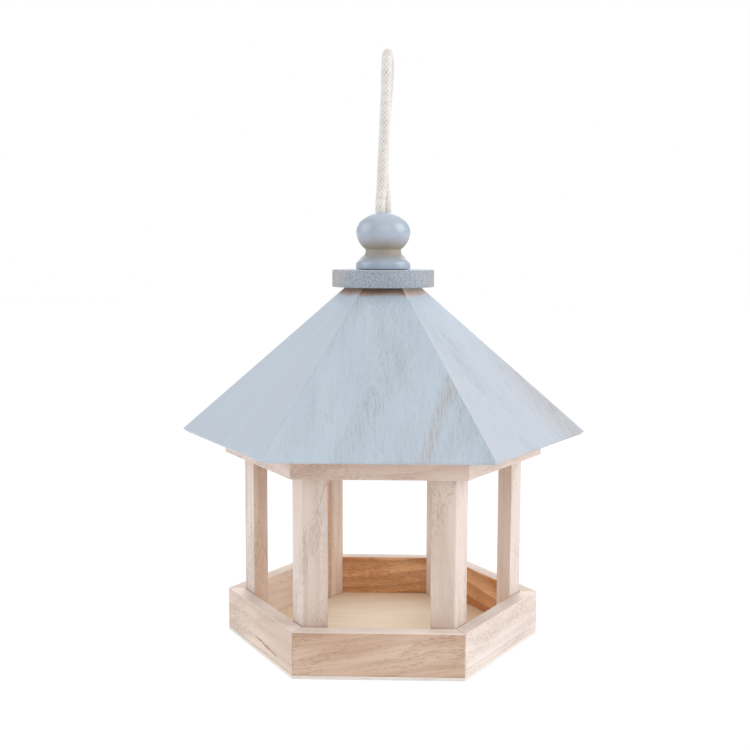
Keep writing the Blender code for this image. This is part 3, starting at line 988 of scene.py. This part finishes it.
def tied_knot(skin):
    """The overhand knot under the apex block, with its two cut ends hanging from it. Its lengths
    are in millimetres from its middle, and the knot itself is most of a trefoil."""
    low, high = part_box("rope_knot")
    middle = Vector((0, 0, high.z - 8 * MM))
    cut = (low.z - middle.z) / MM
    wide, thick = 5.0, 2.9
    turn = 0.88 * math.tau
    steps = 56
    points = [(2.45, 3.67, cut), (2.9, 2.4, cut / 2), (6.0, -2.4, -6.5), (7.6, -2.2, -2.8)]
    for i in range(steps + 1):
        angle = turn * i / steps
        reach = wide + thick * math.cos(3 * angle)
        level = 1.3 * thick * math.sin(3 * angle)
        points.append((reach * math.cos(2 * angle), reach * math.sin(2 * angle), level))
    points += [(-0.8, -3.4, -9), (-2.0, -3.6, -16), (-2.45, -3.67, cut)]
    route = [middle + Vector(point) * MM for point in points]
    line = evenly(smooth(route, 6), RING_GAP)
    knot = braided("rope_knot_tied", line, 0, len(line) - 1, skin)
    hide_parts("rope_knot")
    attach(knot, "feeder")
    return knot


# --- Stage ---

FLOOR_LEVEL = -0.75
FLOOR_HALF = 12.0
SURROUND = 0.62  # how strongly the white surround lights the feeder
SUN_WIDTH = 50.0  # degrees

# Soft lights: the direction that each comes from, and its strength
LIGHTS = {
    "key": ((0.93, -0.10, 0.36), 1.6),
    "fill": ((-0.93, -0.10, 0.36), 0.95),
    "front": ((0.15, -0.93, 0.34), 0.5),
    "back": ((0.0, 0.92, 0.40), 1.2),
}


def soft_sun(name, aim, strength):
    """A broad soft light from the direction aim."""
    data = bpy.data.lights.new(name, "SUN")
    data.energy = strength
    data.angle = math.radians(SUN_WIDTH)
    light = bpy.data.objects.new(name, data)
    bpy.context.scene.collection.objects.link(light)
    light.rotation_euler = Vector(aim).to_track_quat("Z", "Y").to_euler()


def floor():
    """A plain white floor that is clear when seen from below."""
    made, tree, shader = new_material("floor", 0.9)
    shader.inputs["Base Color"].default_value = (0.95, 0.95, 0.95, 1)
    shader.inputs["Specular IOR Level"].default_value = 0.0
    behind = add(tree, "NewGeometry").outputs["Backfacing"]
    clear = add(tree, "BsdfTransparent").outputs[0]
    seen = add(tree, "MixShader", {0: behind, 1: shader.outputs[0], 2: clear}).outputs[0]
    tree.links.new(seen, tree.nodes["Material Output"].inputs["Surface"])
    data = bpy.data.meshes.new("floor")
    signs = ((-1, -1), (1, -1), (1, 1), (-1, 1))
    corners = [(x * FLOOR_HALF, y * FLOOR_HALF, FLOOR_LEVEL) for x, y in signs]
    data.from_pydata(corners, [], [(0, 1, 2, 3)])
    new_object("floor", data, made)


def surround():
    """A world that the camera sees as plain white."""
    world = bpy.data.worlds.new("surround")
    world.use_nodes = True
    bpy.context.scene.world = world
    tree = world.node_tree
    seen = add(tree, "LightPath").outputs["Is Camera Ray"]
    white = (1, 1, 1, 1)
    lit = add(tree, "Background", {"Color": white, "Strength": SURROUND}).outputs[0]
    shown = add(tree, "Background", {"Color": white, "Strength": 1.0}).outputs[0]
    both = add(tree, "MixShader", {0: seen, 1: lit, 2: shown}).outputs[0]
    tree.links.new(both, tree.nodes["World Output"].inputs["Surface"])


def stage():
    """A white floor, a white surround and soft lights."""
    floor()
    surround()
    for name, (aim, strength) in LIGHTS.items():
        soft_sun(name, aim, strength)
    bpy.context.scene.view_settings.view_transform = "Standard"


def main():
    make_camera()
    skins = {
        # pale: partly the boards' own colour and partly painted highlight; inner: the warmer colour
        # of painted shade.
        "sawn_wood": wood(
            "sawn_wood",
            outer=("D1B7A4", "BE9C83", "8F6B55"),
            pale=("E2D6CF", "D6C6BD", "A58C7C"),
            inner=("F4C394", "D08D50", "90542A"),
        ),
        "post_wood": wood(
            "post_wood",
            outer=("D6C5BA", "CAB5A7", "9C8370"),
            pale=("E0D6D1", "D4C5BD", "A58C7C"),
            inner=("ECCAAA", "DAB08C", "946A4C"),
        ),
        "plywood": plywood(),
        "roof_wash": roof_wash(),
        "cap_wash": cap_wash(),
        "finial_wash": finial_wash(),
        "cotton": cotton(),
        "steel": steel(),
    }
    rope(skins)
    boards(skins)
    for number in range(1, SIDES + 1):
        roof_panel(number, skins)
    cap(skins)
    finial(skins)
    brads(skins)
    stage()


main()
